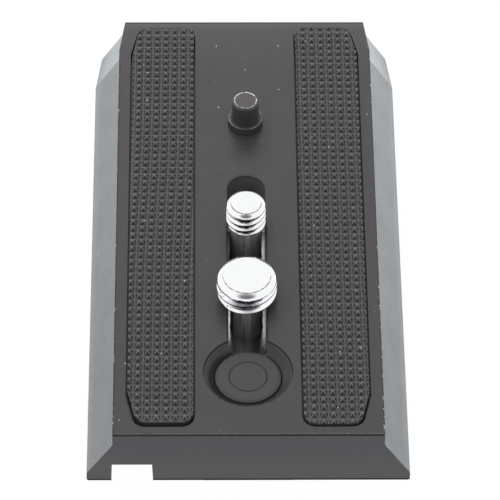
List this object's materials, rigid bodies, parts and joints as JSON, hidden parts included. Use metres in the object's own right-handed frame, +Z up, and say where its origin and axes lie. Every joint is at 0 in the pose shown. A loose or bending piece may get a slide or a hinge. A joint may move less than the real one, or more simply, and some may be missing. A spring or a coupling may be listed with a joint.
{
  "type": "tripod quick release plate",
  "caption": "Black dovetail quick release plate with rubber grip strips, sliding camera screws in a lengthwise slot and a spring-loaded video pin.",
  "frame": {"origin": "centre of the base face, midway between the two ends, on the surface that the plate lies on", "axes": "+Y along the plate from the near end with the keyhole to the tapered lead-in end, +X to the right seen from the near end, +Z up towards the camera"},
  "size_m": [0.0502, 0.09, 0.0166],
  "materials": {
    "anodised_black": "fine satin black anodised aluminium with bright specks of dust and worn edges",
    "grip_rubber": "matt black rubber",
    "bright_plating": "bright nickel plating",
    "washer_steel": "bright rolled steel",
    "pin_black": "blackened steel, worn bright at the edges",
    "spring_steel": "drawn spring wire",
    "plug_black": "matt black nylon"
  },
  "bodies": {
    "plate": {"plate_body": "anodised_black", "left_grip_pad": "grip_rubber", "right_grip_pad": "grip_rubber", "keyhole_plug": "plug_black", "keyhole_plug_pin": "plug_black", "video_pin_retainer": "pin_black", "video_pin_spring": "spring_steel"},
    "quarter_inch_carriage": {"quarter_inch_washer": "washer_steel"},
    "quarter_inch_screw_body": {"quarter_inch_screw": "bright_plating"},
    "three_eighths_carriage": {"three_eighths_washer": "washer_steel"},
    "three_eighths_screw_body": {"three_eighths_screw": "bright_plating"},
    "video_pin_body": {"video_pin": "pin_black"}
  },
  "joints": [
    {"name": "quarter_inch_slide", "type": "slide", "parent": "plate", "child": "quarter_inch_carriage", "axis": [0, 1, 0], "range_m": [-0.0011, 0.0081]},
    {"name": "quarter_inch_turn", "type": "hinge", "parent": "quarter_inch_carriage", "child": "quarter_inch_screw_body", "pos_m": [-0.0001, -0.00157, 0], "axis": [0, 0, 1], "continuous": true},
    {"name": "three_eighths_slide", "type": "slide", "parent": "plate", "child": "three_eighths_carriage", "axis": [0, 1, 0], "range_m": [-0.00745, 0.0011]},
    {"name": "three_eighths_turn", "type": "hinge", "parent": "three_eighths_carriage", "child": "three_eighths_screw_body", "pos_m": [-0.0001, -0.01661, 0], "axis": [0, 0, 1], "continuous": true},
    {"name": "video_pin_press", "type": "slide", "parent": "plate", "child": "video_pin_body", "axis": [0, 0, 1], "range_m": [-0.0055, 0], "stiffness_N_per_m": 300, "springref_m": 0.004, "deforming": ["video_pin_spring"]}
  ]
}
